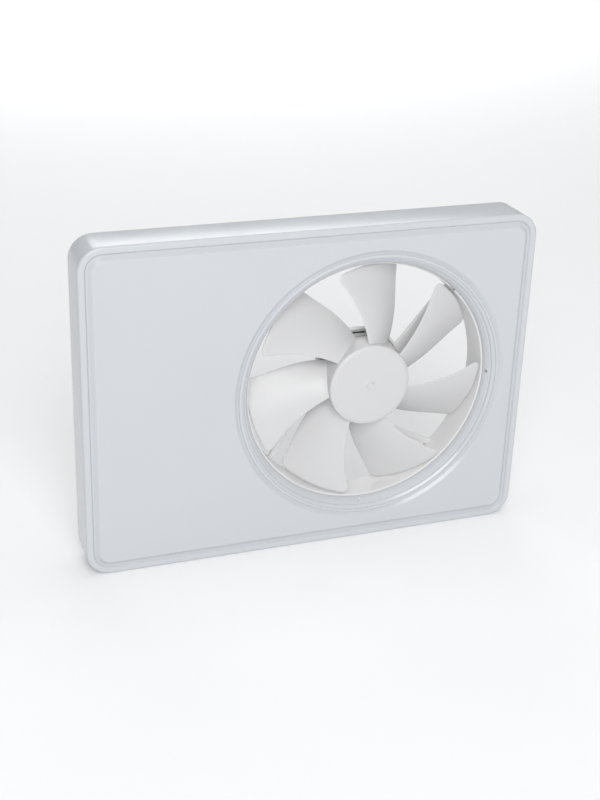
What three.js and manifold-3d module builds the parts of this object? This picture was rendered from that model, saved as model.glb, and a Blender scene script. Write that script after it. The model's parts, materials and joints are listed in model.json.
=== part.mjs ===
// Slim wall-mounted extractor fan: a flat case with a round inlet, a seven-blade rotor on an
// outer-rotor motor, and the control electronics beside it under an inner lid.
// Millimetres. The pieces are drawn in a wall frame: x to the right, y up, z out of the wall,
// with z = 0 on the wall and the case centred on x = y = 0. The exported group then stands the
// fan upright: +Z up, front towards -Y, origin at the middle of the bottom edge.
import * as THREE from "three";
import { mergeVertices } from "three/addons/utils/BufferGeometryUtils.js";
import Module from "manifold-3d";

const wasm = await Module();
wasm.setup();

// ---- driving dimensions ----
const WIDTH = 291;
const HEIGHT = 213;
const DEPTH = 29;
const CORNER_R = 15;
const GAP = 0.3; // clearance between touching pieces
const ROUND = 48; // segments of the large rings round the fan axis
const FAN_X = (WIDTH - HEIGHT) / 2; // the inlet keeps equal margins to the top, bottom and right

// front cover
const WALL = 2.2;
const FRONT_WALL = 2.6;
const EDGE_BEVEL = 1.5;
const FRAME_WIDTH = 4.9; // raised rim round the front
const GROOVE_DEPTH = 1.2;
const PANEL_INSET = 10.5; // where the flat panel starts
const INLET_R = 80.5;
const INLET_Z = DEPTH - 7.8; // rear end of the flared inlet
const INLET_GROOVE_R = 88.3;
const SIGHT_HOLE_R = 1.2;
const PIN_R = 2.2;
const PIN_INSET = 14;
const PIN_END_Z = 7;

// base plate
const BASE_INSET = 2.8;
const BASE_THICK = 2.6;
const RIM_TOP = 10;
const RIM_WALL = 2;
const LEAD_CHANNEL_R = 86; // the hole in the base plate leaves a channel round the shroud

// fan frame
const SHROUD_R = 79.6;
const SHROUD_WALL = 2.4;
const SHROUD_TOP = INLET_Z - 0.5;
const FLANGE_R = 93.5;
const FLANGE_Z = BASE_THICK + GAP;
const FLANGE_THICK = 2.3;
const STRUT_DEPTH = 2.8;
const STRUT_WIDTH = 4;
const STRUT_OFFSET = 26.9; // distance of a strut's centre line from the fan axis
const STRUT_ANGLES = [-26.8, -116.8, -191.8];
const LEAD_STRUT_WIDTH = 10;
const LEAD_STRUT_OFFSET = 14;
const LEAD_STRUT_ANGLE = 50;
const MOTOR_PLATE_R = 31;
const MOTOR_PLATE_FLOOR = 1.6;
const MOTOR_PLATE_TOP = 3.4;
const FRAME_SCREW_R = 89.7;
const LEAD_EXIT_ANGLE = 42.5; // where the motor lead leaves through the shroud
const CATCH_ANGLE = 45.5; // the notch for a catch in the shroud's front lip

// rotor
const BLADES = 7;
const HUB_R = 27;
const HUB_FRONT = DEPTH - 3.6;
const HUB_REAR = 7.5;
const HUB_EDGE = 2;
const HUB_WALL = 1.6;
const TIP_R = 78;
const BLADE_THICK = 1.9;
const BLADE_ROOT_R = HUB_R - 0.8;

// motor
const YOKE_WALL = 1.2;
const YOKE_R = HUB_R - HUB_WALL - GAP;
const YOKE_FRONT = HUB_FRONT - 1.8 - GAP;
const YOKE_REAR = 8.6;
const MAGNET_R = YOKE_R - YOKE_WALL - GAP;
const MAGNET_THICK = 2.4;
const STATOR_R = MAGNET_R - MAGNET_THICK - 0.5;
const STATOR_Z = [10, 17];
const TEETH = 6;
const TOOTH_WIDTH = 4;
const COIL_THICK = 2.4;
const SHAFT_R = 1.2;
const BEARING_IN_R = SHAFT_R + GAP;
const BEARING_OUT_R = 4;
const BEARING_WIDTH = 4;
const TUBE_IN_R = BEARING_OUT_R + GAP;
const TUBE_OUT_R = 5.8;

// electronics
const BOARD_CENTRE = [-97, 28];
const BOARD_SIZE = [66, 100];
const BOARD_Z = 5.3;
const BOARD_THICK = 1.6;
const PART_Z = BOARD_Z + BOARD_THICK + GAP; // where the parts on the board start
const LID = { x: [-136, -57], y: [-82, 82], z: [BASE_THICK + GAP, 21], wall: 1.6 };
const EAR_THICK = 2; // the lid's screw ears
const TOUCH_CENTRE = [-98, 0];
const TOUCH_SIZE = [44, 70];
const TOUCH_Z = 22;
const TOUCH_BOARD_Z = [TOUCH_Z, TOUCH_Z + 1.2];
const CABLE_Y = -57; // the mains cable runs in along this line
const TERMINAL_CENTRE = [-77, CABLE_Y];
const CLAMP_CENTRE = [-98, CABLE_Y];
const CLAMP_Z = [7.8, 10.8];
const GROMMET_CENTRE = [-119, CABLE_Y];
const GROMMET_R = 9;
const LED_CENTRE = [-98, 24];
const RIBBON_CENTRE = [-98, 26];
const BOARD_PARTS = {
  transformer: [-112, 2],
  bulkCapacitor: [-89, -9],
  outputCapacitor: [-74, 4],
  fuse: [-124, -10],
  varistor: [-110, -14],
  microcontroller: [-112, 46],
  motorConnector: [-69.5, 22],
  humiditySensor: [-97, 66],
};

// fasteners and the holes they use
const PILOT_R = 1.5;
const CLEARANCE_R = 1.7;
const WALL_HOLE_R = 2.4;
const POST_R = 3.4;
const BUSH_R = 5;
const BUSH_POST_R = 7;
const HEAD_RISE = 1.7;
const SCREW_TIP_Z = 0.4; // just clear of the wall

const PARTS = {
  cover: { color: 0xdde2e8, roughness: 0.18, metalness: 0 },
  base: { color: 0xd6d8da, roughness: 0.5, metalness: 0 },
  rotor: { color: 0xe6e5e2, roughness: 0.5, metalness: 0 },
  frame: { color: 0xe2e1de, roughness: 0.5, metalness: 0 },
  steel: { color: 0xb9bcc0, roughness: 0.35, metalness: 1 },
  magnet: { color: 0x3a3a3c, roughness: 0.8, metalness: 0 },
  brass: { color: 0xb79a5a, roughness: 0.35, metalness: 1 },
  copper: { color: 0xa8572c, roughness: 0.4, metalness: 1 },
  board: { color: 0x2c6b45, roughness: 0.6, metalness: 0 },
  dark: { color: 0x26272a, roughness: 0.6, metalness: 0 },
  blue: { color: 0x2d4f8a, roughness: 0.5, metalness: 0 },
  yellow: { color: 0xc9b14a, roughness: 0.5, metalness: 0 },
  rubber: { color: 0x3c3d3f, roughness: 0.9, metalness: 0 },
  cream: { color: 0xd9d6c8, roughness: 0.5, metalness: 0 },
};

const wallFrame = new THREE.Group();
wallFrame.rotation.x = Math.PI / 2;
wallFrame.position.set(0, DEPTH / 2, HEIGHT / 2);

// ---- helpers ----
const rad = THREE.MathUtils.degToRad;
const polar = (r, degrees) => [r * Math.cos(rad(degrees)), r * Math.sin(rad(degrees))];

// A closed geometry as a solid that can be joined and cut.
function solid(geometry) {
  const bare = geometry.clone();
  bare.deleteAttribute("normal");
  bare.deleteAttribute("uv");
  const merged = mergeVertices(bare, 1e-4);
  return new wasm.Manifold(
    new wasm.Mesh({
      numProp: 3,
      vertProperties: new Float32Array(merged.attributes.position.array),
      triVerts: new Uint32Array(merged.index.array),
    }),
  );
}

function geometryOf(body) {
  const mesh = body.getMesh();
  const geometry = new THREE.BufferGeometry();
  geometry.setAttribute("position", new THREE.BufferAttribute(mesh.vertProperties, 3));
  geometry.setIndex(new THREE.BufferAttribute(mesh.triVerts, 1));
  geometry.computeVertexNormals();
  return geometry;
}

function addPart(name, body, look, x = 0, y = 0) {
  const mesh = new THREE.Mesh(geometryOf(body), new THREE.MeshStandardMaterial(look));
  mesh.name = name;
  mesh.position.set(x, y, 0);
  wallFrame.add(mesh);
}

const addFanPart = (name, body, look) => addPart(name, body, look, FAN_X, 0);

function box(centre, size, zLow, zHigh) {
  const geometry = new THREE.BoxGeometry(size[0], size[1], zHigh - zLow);
  geometry.translate(centre[0], centre[1], (zLow + zHigh) / 2);
  return solid(geometry);
}

function cylinder(centre, radius, zLow, zHigh, segments = 16) {
  const geometry = new THREE.CylinderGeometry(radius, radius, zHigh - zLow, segments);
  geometry.rotateX(Math.PI / 2);
  geometry.translate(centre[0], centre[1], (zLow + zHigh) / 2);
  return solid(geometry);
}

// A profile of [radius, z] points turned round the z axis, whichever way round it is listed.
function turned(profile, segments = 36, closed = true) {
  const area = profile.reduce((sum, [r, z], i) => {
    const [nextR, nextZ] = profile[(i + 1) % profile.length];
    return sum + r * nextZ - nextR * z;
  }, 0);
  const ordered = area > 0 ? [...profile] : [...profile].reverse();
  if (closed) ordered.push(ordered[0]);
  const points = ordered.map(([r, z]) => new THREE.Vector2(r, z));
  const geometry = new THREE.LatheGeometry(points, segments);
  geometry.rotateX(Math.PI / 2);
  return solid(geometry);
}

function ring(innerR, outerR, zLow, zHigh, segments = 36) {
  const profile = [
    [innerR, zLow],
    [outerR, zLow],
    [outerR, zHigh],
    [innerR, zHigh],
  ];
  return turned(profile, segments);
}

function roundedRect(width, height, radius) {
  const x = width / 2;
  const y = height / 2;
  const shape = new THREE.Shape();
  shape.moveTo(-x + radius, -y);
  shape.lineTo(x - radius, -y);
  shape.absarc(x - radius, -y + radius, radius, -Math.PI / 2, 0, false);
  shape.lineTo(x, y - radius);
  shape.absarc(x - radius, y - radius, radius, 0, Math.PI / 2, false);
  shape.lineTo(-x + radius, y);
  shape.absarc(-x + radius, y - radius, radius, Math.PI / 2, Math.PI, false);
  shape.lineTo(-x, -y + radius);
  shape.absarc(-x + radius, -y + radius, radius, Math.PI, Math.PI * 1.5, false);
  return shape;
}

// The case outline moved in by `inset`, from zLow to zHigh.
function caseBlock(inset, zLow, zHigh) {
  const radius = Math.max(CORNER_R - inset, 3);
  const shape = roundedRect(WIDTH - 2 * inset, HEIGHT - 2 * inset, radius);
  const geometry = new THREE.ExtrudeGeometry(shape, {
    depth: zHigh - zLow,
    bevelEnabled: false,
    curveSegments: 6,
  });
  geometry.translate(0, 0, zLow);
  return solid(geometry);
}

// A case block whose both ends are bevelled inwards by `run` over the height `rise`.
function bevelledBlock(inset, zLow, zHigh, run, rise, steps) {
  const radius = Math.max(CORNER_R - inset, run + 1);
  const shape = roundedRect(WIDTH - 2 * inset, HEIGHT - 2 * inset, radius);
  const geometry = new THREE.ExtrudeGeometry(shape, {
    depth: zHigh - zLow - 2 * rise,
    bevelEnabled: true,
    bevelSize: run,
    bevelThickness: rise,
    bevelOffset: -run,
    bevelSegments: steps,
    curveSegments: 6,
  });
  geometry.translate(0, 0, zLow + rise);
  return solid(geometry);
}

const union = (bodies) => bodies.reduce((whole, body) => whole.add(body));
const corners = (x, y) => [[x, y], [-x, y], [-x, -y], [x, -y]];

// ---- front cover ----
const pinPlaces = corners(WIDTH / 2 - PIN_INSET, HEIGHT / 2 - PIN_INSET);

function coverShell() {
  const outside = bevelledBlock(0, -DEPTH, DEPTH, EDGE_BEVEL, EDGE_BEVEL, 2);
  const cavity = caseBlock(WALL, -DEPTH - 1, DEPTH - FRONT_WALL);
  const behindWall = caseBlock(-5, -DEPTH - 1, 0.5);
  const frontGroove = caseBlock(FRAME_WIDTH, DEPTH - GROOVE_DEPTH, DEPTH + 1).subtract(
    bevelledBlock(FRAME_WIDTH + 0.7, DEPTH - 20, DEPTH, PANEL_INSET - FRAME_WIDTH - 0.7,
      GROOVE_DEPTH, 1),
  );
  return outside.subtract(cavity).subtract(behindWall).subtract(frontGroove);
}

// The flared ring round the air inlet.
function inletRing() {
  return turned(
    [
      [INLET_R, INLET_Z],
      [INLET_R + 0.5, INLET_Z + 2.2],
      [INLET_R + 1.6, INLET_Z + 4.6],
      [INLET_R + 3, INLET_Z + 6.4],
      [INLET_R + 4.8, INLET_Z + 7.5],
      [INLET_R + 6.2, DEPTH],
      [INLET_R + 7.1, DEPTH],
      [INLET_GROOVE_R, DEPTH - GROOVE_DEPTH],
      [INLET_GROOVE_R + 0.4, DEPTH - FRONT_WALL],
      [INLET_R + 6.2, DEPTH - FRONT_WALL],
      [INLET_R + 4, INLET_Z + 3.6],
      [INLET_R + 2.6, INLET_Z + 1.6],
      [INLET_R + 2.2, INLET_Z],
    ],
    ROUND,
  );
}

function frontCover() {
  const inletHole = cylinder([0, 0], INLET_GROOVE_R - 0.3, DEPTH - 5, DEPTH + 2, ROUND);
  const inletBevel = turned(
    [
      [INLET_GROOVE_R - 1, DEPTH - GROOVE_DEPTH],
      [INLET_GROOVE_R, DEPTH - GROOVE_DEPTH],
      [INLET_GROOVE_R + 3.2, DEPTH],
      [INLET_GROOVE_R + 3.2, DEPTH + 2],
      [INLET_GROOVE_R - 1, DEPTH + 2],
    ],
    ROUND,
  );
  const sightHole = new THREE.CylinderGeometry(SIGHT_HOLE_R, SIGHT_HOLE_R, 8, 12);
  sightHole.rotateZ(Math.PI / 2);
  sightHole.translate(INLET_R + 2, 0, INLET_Z + 2.4);
  const face = coverShell()
    .subtract(inletHole.translate(FAN_X, 0, 0))
    .subtract(inletBevel.translate(FAN_X, 0, 0));
  const pins = pinPlaces.map((place) =>
    union([
      cylinder(place, PIN_R, PIN_END_Z, DEPTH - FRONT_WALL + 0.5, 10),
      cylinder(place, PIN_R + 1.6, 16, DEPTH - FRONT_WALL + 0.5, 10),
    ]),
  );
  const ringBody = inletRing().subtract(solid(sightHole));
  return union([face, ringBody.translate(FAN_X, 0, 0), ...pins]);
}
addPart("front_cover", frontCover(), PARTS.cover);

// ---- base plate ----
const boardHoles = corners(BOARD_SIZE[0] / 2 - 4, BOARD_SIZE[1] / 2 - 4).map(([x, y]) => [
  x + BOARD_CENTRE[0],
  y + BOARD_CENTRE[1],
]);
const clampHoles = [-10, 10].map((dy) => [CLAMP_CENTRE[0], CLAMP_CENTRE[1] + dy]);
const frameScrews = [22, 112, 202, 292].map((angle) => {
  const [x, y] = polar(FRAME_SCREW_R, angle);
  return [x + FAN_X, y];
});
const lidScrews = [-86.5, 86.5].map((y) => [-84, y]);
const wallHoles = [-104, 112].flatMap((x) => [-94.5, 94.5].map((y) => [x, y]));

function basePlate() {
  const plate = caseBlock(BASE_INSET, 0, BASE_THICK);
  const rim = caseBlock(BASE_INSET, 0, RIM_TOP).subtract(
    caseBlock(BASE_INSET + RIM_WALL, -1, RIM_TOP + 1),
  );
  const added = [
    ...boardHoles.map((place) => cylinder(place, POST_R, 1, BOARD_Z - GAP, 10)),
    ...clampHoles.map((place) => cylinder(place, POST_R, 1, CLAMP_Z[0] - GAP, 10)),
    ...pinPlaces.map((place) => cylinder(place, BUSH_POST_R, 1, 11, 16)),
  ];
  const removed = [
    cylinder([FAN_X, 0], LEAD_CHANNEL_R, -1, 12, ROUND),
    cylinder(GROMMET_CENTRE, GROMMET_R, -1, 12, 32),
    ...pinPlaces.map((place) => cylinder(place, BUSH_R + GAP, 3, 12, 16)),
    ...[...boardHoles, ...clampHoles].map((place) => cylinder(place, PILOT_R, 1.2, 12, 8)),
    ...[...frameScrews, ...lidScrews].map((place) => cylinder(place, PILOT_R, -1, 12, 8)),
    ...wallHoles.map((place) => cylinder(place, WALL_HOLE_R, -1, 12, 12)),
  ];
  const body = union([plate, rim, ...added]);
  return removed.reduce((rest, tool) => rest.subtract(tool), body);
}
addPart("base_plate", basePlate(), PARTS.base);

for (const [i, place] of pinPlaces.entries()) {
  const bush = turned(
    [
      [PIN_R + GAP, 5.4],
      [BUSH_R, 3.3],
      [BUSH_R, 11.5],
      [BUSH_R - 0.8, 12.3],
      [PIN_R + 1.1, 12.3],
      [PIN_R + GAP, 11],
    ],
    16,
  );
  addPart(`cover_bush_${i + 1}`, bush, PARTS.rubber, ...place);
}

// ---- fan frame: shroud, flange, struts and motor plate in one moulding ----
// A straight bar at `offset` to the right of the fan axis, running out at `angle`.
function strutBar(width, offset, angle, zLow, zHigh, reach) {
  const geometry = new THREE.BoxGeometry(reach, width, zHigh - zLow);
  geometry.translate(reach / 2, -offset, (zLow + zHigh) / 2);
  geometry.rotateZ(rad(angle));
  return solid(geometry);
}

function fanFrame() {
  const outerR = SHROUD_R + SHROUD_WALL;
  const shroud = turned(
    [
      [SHROUD_R, 0],
      [outerR, 0],
      [outerR, SHROUD_TOP - 1],
      [outerR - 0.8, SHROUD_TOP],
      [SHROUD_R + 0.6, SHROUD_TOP],
      [SHROUD_R, SHROUD_TOP - 1],
    ],
    ROUND,
  );
  const flange = ring(outerR - 1, FLANGE_R, FLANGE_Z, FLANGE_Z + FLANGE_THICK, ROUND);
  const reach = Math.sqrt((SHROUD_R + 1) ** 2 - STRUT_OFFSET ** 2);
  const leadReach = Math.sqrt((SHROUD_R + 1) ** 2 - LEAD_STRUT_OFFSET ** 2);
  const struts = STRUT_ANGLES.map((angle) =>
    strutBar(STRUT_WIDTH, STRUT_OFFSET, angle, 0, STRUT_DEPTH, reach),
  );
  const leadStrut = strutBar(
    LEAD_STRUT_WIDTH, LEAD_STRUT_OFFSET, LEAD_STRUT_ANGLE, 0, STRUT_DEPTH, leadReach,
  );
  const plate = turned(
    [
      [TUBE_OUT_R + GAP, 0],
      [MOTOR_PLATE_R, 0],
      [MOTOR_PLATE_R, MOTOR_PLATE_TOP],
      [MOTOR_PLATE_R - 2, MOTOR_PLATE_TOP],
      [MOTOR_PLATE_R - 2, MOTOR_PLATE_FLOOR],
      [TUBE_OUT_R + GAP, MOTOR_PLATE_FLOOR],
    ],
    48,
  );
  const wall = ring(outerR + 3, outerR + 30, -1, FLANGE_Z, ROUND);
  const inside = cylinder([0, 0], MOTOR_PLATE_R - 2, MOTOR_PLATE_FLOOR, 8, 48);
  const body = union([...struts, leadStrut]).subtract(inside).subtract(wall);
  const leadGroove = strutBar(3, LEAD_STRUT_OFFSET, LEAD_STRUT_ANGLE, -1, 2.3, 100);
  const cuts = [
    leadGroove.subtract(cylinder([0, 0], 19, -2, 3, 24)),
    box([0, MOTOR_PLATE_R - 4], [10, 2.6], -1, 3),
    box([-85.8, 1.5], [7, 11], -1, 12),
    box(polar(SHROUD_R + 1.2, LEAD_EXIT_ANGLE), [10, 10], -1, 2.3),
    box(polar(SHROUD_R + 1.5, CATCH_ANGLE), [4, 4], SHROUD_TOP - 3.5, SHROUD_TOP + 1),
    ...frameScrews.map(([x, y]) => cylinder([x - FAN_X, y], CLEARANCE_R, 0, 8, 8)),
  ];
  const centre = cylinder([0, 0], TUBE_OUT_R + GAP, -1, 8, 48);
  const whole = union([shroud, flange, plate, body.subtract(centre)]);
  return cuts.reduce((rest, tool) => rest.subtract(tool), whole);
}
addFanPart("fan_frame", fanFrame(), PARTS.frame);

// ---- impeller ----
const mix = THREE.MathUtils.lerp;

// The middle surface of the first blade: `along` runs from the trailing to the leading edge.
function bladeMiddle(along, radius) {
  const span = (radius - HUB_R) / (TIP_R - HUB_R);
  const trailingAngle = 100 + 24.6 * (1 - Math.max(1 - span, 0) ** 1.6);
  const leadingAngle = mix(143.6, 160.4, span);
  const trailingZ = DEPTH - mix(22.2, 23.6, span) - 0.6 * Math.sin(Math.PI * span);
  const leadingZ = DEPTH - mix(7.6, 6.6, span) - 0.8 * Math.sin(Math.PI * span);
  const camber = 1.7 * Math.sin(Math.PI * along);
  const [x, y] = polar(radius, mix(trailingAngle, leadingAngle, along));
  return new THREE.Vector3(x, y, mix(trailingZ, leadingZ, along) + camber);
}

function bladePoint(along, span, side) {
  const edge = Math.min(along, 1 - along) / 0.12;
  const tipCut = edge < 1 ? 5 * (1 - Math.sqrt(1 - (1 - edge) ** 2)) : 0;
  const radius = mix(BLADE_ROOT_R, TIP_R - tipCut, span);
  const step = 0.01;
  const point = bladeMiddle(along, radius);
  const chordwise = bladeMiddle(along + step, radius).sub(point);
  const spanwise = bladeMiddle(along, radius + step).sub(point);
  const normal = chordwise.cross(spanwise).normalize();
  const thickness = BLADE_THICK * (0.55 + 0.45 * Math.sin(Math.PI * along));
  return point.addScaledVector(normal, side * thickness);
}

function blade() {
  const geometry = new THREE.BoxGeometry(1, 1, 1, 8, 5, 1);
  const position = geometry.attributes.position;
  for (let i = 0; i < position.count; i++) {
    const point = bladePoint(position.getX(i) + 0.5, position.getY(i) + 0.5, position.getZ(i));
    position.setXYZ(i, point.x, point.y, point.z);
  }
  return solid(geometry);
}

function impeller() {
  const hub = turned(
    [
      [0, HUB_FRONT - 0.4],
      [1.6, HUB_FRONT - 0.4],
      [2.4, HUB_FRONT],
      [HUB_R - HUB_EDGE, HUB_FRONT],
      [HUB_R - 0.6, HUB_FRONT - 0.6],
      [HUB_R, HUB_FRONT - HUB_EDGE],
      [HUB_R, HUB_REAR],
      [HUB_R - HUB_WALL, HUB_REAR],
      [HUB_R - HUB_WALL, HUB_FRONT - 1.8],
      [0, HUB_FRONT - 1.8],
    ],
    40,
    false,
  );
  const first = blade();
  const blades = [];
  for (let i = 0; i < BLADES; i++) {
    blades.push(first.rotate([0, 0, (i * 360) / BLADES]));
  }
  return union([hub, ...blades]);
}
addFanPart("impeller", impeller(), PARTS.rotor);

// ---- rotor inside the hub ----
const SHAFT_TOP = YOKE_FRONT - YOKE_WALL - GAP;
addFanPart(
  "rotor_yoke",
  turned([
    [SHAFT_R + GAP, YOKE_FRONT - YOKE_WALL - 4],
    [SHAFT_R + 2.4, YOKE_FRONT - YOKE_WALL - 4],
    [SHAFT_R + 2.4, YOKE_FRONT - YOKE_WALL],
    [YOKE_R - YOKE_WALL, YOKE_FRONT - YOKE_WALL],
    [YOKE_R - YOKE_WALL, YOKE_REAR],
    [YOKE_R, YOKE_REAR],
    [YOKE_R, YOKE_FRONT - 1],
    [YOKE_R - 1, YOKE_FRONT],
    [SHAFT_R + GAP, YOKE_FRONT],
  ]),
  PARTS.steel,
);
addFanPart(
  "magnet_ring",
  ring(MAGNET_R - MAGNET_THICK, MAGNET_R, STATOR_Z[0] - 1, STATOR_Z[1] + 3),
  PARTS.magnet,
);
addFanPart(
  "rotor_shaft",
  turned(
    [
      [0, 1.9],
      [SHAFT_R - 0.3, 1.9],
      [SHAFT_R, 2.2],
      [SHAFT_R, SHAFT_TOP - 0.3],
      [SHAFT_R - 0.3, SHAFT_TOP],
      [0, SHAFT_TOP],
    ],
    16,
    false,
  ),
  PARTS.steel,
);
addFanPart("retaining_ring", ring(SHAFT_R + GAP, 2.9, 2.2, 2.8, 20), PARTS.steel);

// ---- bearings and stator ----
const REAR_BEARING_Z = 3.2;
const FRONT_BEARING_Z = 13.6;
const TUBE_TOP = 18;

function bearing(z) {
  const top = z + BEARING_WIDTH;
  const middle = (BEARING_IN_R + BEARING_OUT_R) / 2;
  return turned(
    [
      [BEARING_IN_R, z],
      [middle - 0.5, z],
      [middle - 0.5, z + 0.4],
      [middle + 0.5, z + 0.4],
      [middle + 0.5, z],
      [BEARING_OUT_R, z],
      [BEARING_OUT_R, top],
      [middle + 0.5, top],
      [middle + 0.5, top - 0.4],
      [middle - 0.5, top - 0.4],
      [middle - 0.5, top],
      [BEARING_IN_R, top],
    ],
    18,
  );
}
addFanPart("rear_bearing", bearing(REAR_BEARING_Z), PARTS.steel);
addFanPart("front_bearing", bearing(FRONT_BEARING_Z), PARTS.steel);

const SHOULDER_R = BEARING_OUT_R - 1;
addFanPart(
  "bearing_tube",
  turned(
    [
      [TUBE_IN_R, 0.2],
      [TUBE_OUT_R, 0.2],
      [TUBE_OUT_R, TUBE_TOP],
      [TUBE_IN_R, TUBE_TOP],
      [TUBE_IN_R, FRONT_BEARING_Z - GAP],
      [SHOULDER_R, FRONT_BEARING_Z - GAP],
      [SHOULDER_R, REAR_BEARING_Z + BEARING_WIDTH + GAP],
      [TUBE_IN_R, REAR_BEARING_Z + BEARING_WIDTH + GAP],
    ],
    32,
  ),
  PARTS.brass,
);

const CORE_R = 9;
const SHOE_THICK = 2;

function statorCore() {
  const [low, high] = STATOR_Z;
  const centre = ring(TUBE_OUT_R + GAP, CORE_R, low, high, 36);
  const shoes = ring(STATOR_R - SHOE_THICK, STATOR_R, low, high, ROUND);
  const parts = [centre];
  let slots = null;
  for (let i = 0; i < TEETH; i++) {
    const turn = (i * 360) / TEETH;
    const tooth = box([(CORE_R + STATOR_R) / 2 - 0.5, 0],
      [STATOR_R - CORE_R, TOOTH_WIDTH], low, high);
    const slot = box([STATOR_R, 0], [8, 3], low - 1, high + 1).rotate([0, 0, turn + 180 / TEETH]);
    parts.push(tooth.rotate([0, 0, turn]));
    slots = slots ? slots.add(slot) : slot;
  }
  return union([...parts, shoes.subtract(slots)]);
}
addFanPart("stator_core", statorCore(), PARTS.steel);

// One winding: a rounded block with a window for its tooth, kept inside its sixth of the stator.
function coil() {
  const inner = CORE_R + 0.9;
  const outer = STATOR_R - SHOE_THICK - GAP;
  const width = TOOTH_WIDTH + 2 * GAP + 2 * COIL_THICK;
  const [low, high] = STATOR_Z;
  const length = outer - inner;
  const block = new THREE.ExtrudeGeometry(
    roundedRect(width, high - low + 2 * COIL_THICK, 2),
    { depth: length, bevelEnabled: false, curveSegments: 4 },
  );
  block.rotateY(Math.PI / 2);
  block.rotateX(Math.PI / 2);
  block.translate(inner, 0, (low + high) / 2);
  const middle = (inner + outer) / 2;
  const window = box([middle, 0], [length + 4, TOOTH_WIDTH + 2 * GAP], low - GAP, high + GAP);
  const wedge = new THREE.Shape();
  const reach = 30;
  const slope = Math.tan(rad(180 / TEETH));
  wedge.moveTo(0.6, 0);
  wedge.lineTo(reach, -(reach - 0.6) * slope);
  wedge.lineTo(reach, (reach - 0.6) * slope);
  wedge.closePath();
  const sector = new THREE.ExtrudeGeometry(wedge, { depth: 40, bevelEnabled: false });
  const round = cylinder([0, 0], outer - 0.2, 0, 30, ROUND);
  return solid(block).subtract(window).intersect(solid(sector)).intersect(round);
}
for (let i = 0; i < TEETH; i++) {
  const winding = coil().rotate([0, 0, (i * 360) / TEETH]);
  addFanPart(`stator_coil_${i + 1}`, winding, PARTS.copper);
}

const MOTOR_BOARD_Z = [2.2, 3.4];
addFanPart(
  "motor_board",
  ring(TUBE_OUT_R + GAP, MOTOR_PLATE_R - 6.5, ...MOTOR_BOARD_Z, 40),
  PARTS.board,
);
addFanPart(
  "hall_sensor",
  box(polar(20.5, 30), [4, 3], MOTOR_BOARD_Z[1] + GAP, MOTOR_BOARD_Z[1] + 2.6),
  PARTS.dark,
);

// ---- motor lead: along the wide strut, round the shroud and up to the control board ----
function motorLead() {
  const channelR = (SHROUD_R + SHROUD_WALL + LEAD_CHANNEL_R) / 2;
  const deepZ = 1.15;
  const along = (distance) => {
    const p = new THREE.Vector2(distance, -LEAD_STRUT_OFFSET);
    p.rotateAround(new THREE.Vector2(), rad(LEAD_STRUT_ANGLE));
    return new THREE.Vector3(p.x, p.y, deepZ);
  };
  const points = [along(16), along(40), along(60), along(70), along(77)];
  for (let angle = 46; angle <= 172; angle += 14) {
    points.push(new THREE.Vector3(...polar(channelR, angle), deepZ));
  }
  points.push(new THREE.Vector3(-84.6, 3, 2.2));
  points.push(new THREE.Vector3(-85.5, 0, 6));
  points.push(new THREE.Vector3(-88, 0, 10));
  points.push(new THREE.Vector3(-97, 12, 13));
  points.push(new THREE.Vector3(-105, 21, 14.2));
  points.push(new THREE.Vector3(-108.3, 22, 12.6));
  points.push(new THREE.Vector3(-108.5, 22, 9.6));
  const path = new THREE.CatmullRomCurve3(points, false, "centripetal");
  const section = new THREE.Shape();
  section.absarc(0, 0, 0.8, 0, 2 * Math.PI, false);
  const geometry = new THREE.ExtrudeGeometry(section, {
    steps: 64,
    curveSegments: 3,
    extrudePath: path,
  });
  return solid(geometry);
}
addFanPart("motor_lead", motorLead(), PARTS.dark);

// ---- control board and what stands on it ----
function controlBoard() {
  const board = box(BOARD_CENTRE, BOARD_SIZE, BOARD_Z, BOARD_Z + BOARD_THICK);
  return boardHoles.reduce((rest, place) => rest.subtract(cylinder(place, PILOT_R, 0, 20, 8)),
    board);
}
addPart("control_board", controlBoard(), PARTS.board);

function transformer() {
  const size = [18, 16];
  const bobbin = box([0, 0], [size[0] - 3, size[1]], PART_Z, PART_Z + 9);
  const core = box([0, 0], [size[0], size[1] - 6], PART_Z + 1.5, PART_Z + 10.5);
  return bobbin.add(core);
}
addPart("transformer", transformer(), PARTS.yellow, ...BOARD_PARTS.transformer);

function bulkCapacitor() {
  return turned(
    [
      [0, 0],
      [4.6, 0],
      [5, 0.5],
      [5, 1.6],
      [4.6, 2.1],
      [5, 2.6],
      [5, 15.5],
      [4.5, 16],
      [0, 16],
    ],
    20,
    false,
  ).rotate([90, 0, 0]).translate([0, 8, PART_Z + 5]);
}
addPart("bulk_capacitor", bulkCapacitor(), PARTS.blue, ...BOARD_PARTS.bulkCapacitor);

function outputCapacitor() {
  return turned(
    [
      [0, PART_Z],
      [3.7, PART_Z],
      [4, PART_Z + 1.2],
      [3.7, PART_Z + 1.8],
      [4, PART_Z + 2.4],
      [4, PART_Z + 10.4],
      [3.5, PART_Z + 10.9],
      [0, PART_Z + 10.9],
    ],
    20,
    false,
  );
}
addPart("output_capacitor", outputCapacitor(), PARTS.dark, ...BOARD_PARTS.outputCapacitor);

function fuse() {
  const radius = 2.6;
  const length = 13;
  const body = new THREE.CapsuleGeometry(radius, length - 2 * radius, 3, 20);
  return solid(body).translate([0, 0, PART_Z + radius]);
}
addPart("fuse", fuse(), PARTS.cream, ...BOARD_PARTS.fuse);

function varistor() {
  const disc = new THREE.CylinderGeometry(4.8, 4.8, 3.6, 20);
  return solid(disc).translate([0, 0, PART_Z + 4.8]);
}
addPart("varistor", varistor(), PARTS.blue, ...BOARD_PARTS.varistor);

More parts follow.
